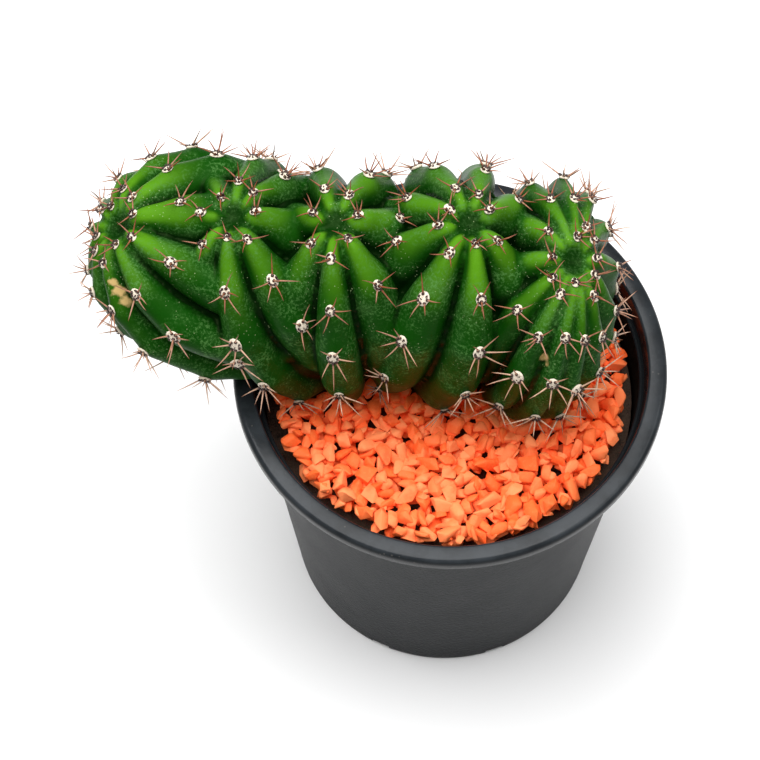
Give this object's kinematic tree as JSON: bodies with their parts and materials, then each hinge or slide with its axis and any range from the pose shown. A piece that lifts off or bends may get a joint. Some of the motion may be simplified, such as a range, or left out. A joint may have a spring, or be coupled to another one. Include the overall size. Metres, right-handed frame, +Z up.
{
  "type": "potted crested cactus",
  "caption": "Crested ribbed cactus with spine clusters, growing in soil under dyed gravel in a round tapered plastic nursery pot.",
  "frame": {"origin": "centre of the pot's base, on the surface it stands on", "axes": "+Z up along the pot's axis; the crest runs along X and overhangs the rim towards -X; the front faces -Y"},
  "size_m": [0.1706, 0.125, 0.1775],
  "materials": {
    "pot_plastic": "satin moulded charcoal plastic, finely pebbled below the rim",
    "soil": "dark crumbly potting mix",
    "gravel": "dyed coral-orange stone chips, matte",
    "stem": "waxy green skin, paler on young ribs, with fine specks and corky scars",
    "spines": "cream felt pads with reddish-brown to tan spines"
  },
  "bodies": {
    "root": {"cactus_stem": "stem", "gravel_bed": "gravel", "head1_spines_01": "spines", "head1_spines_02": "spines", "head1_spines_03": "spines", "head1_spines_04": "spines", "head1_spines_05": "spines", "head1_spines_06": "spines", "head1_spines_07": "spines", "head1_spines_08": "spines", "head1_spines_09": "spines", "head1_spines_10": "spines", "head1_spines_11": "spines", "head1_spines_12": "spines", "head1_spines_13": "spines", "head1_spines_14": "spines", "head2_spines_01": "spines", "head2_spines_02": "spines", "head3_spines_01": "spines", "head3_spines_02": "spines", "head3_spines_03": "spines", "head3_spines_04": "spines", "head4_spines_01": "spines", "head4_spines_02": "spines", "head4_spines_03": "spines", "head4_spines_04": "spines", "head4_spines_05": "spines", "head4_spines_06": "spines", "head4_spines_07": "spines", "head5_spines_01": "spines", "head5_spines_02": "spines", "head5_spines_03": "spines", "head5_spines_04": "spines", "head5_spines_05": "spines", "head5_spines_06": "spines", "head5_spines_07": "spines", "head5_spines_08": "spines", "head5_spines_09": "spines", "head5_spines_10": "spines", "pot": "pot_plastic", "potting_soil": "soil"}
  },
  "joints": []
}
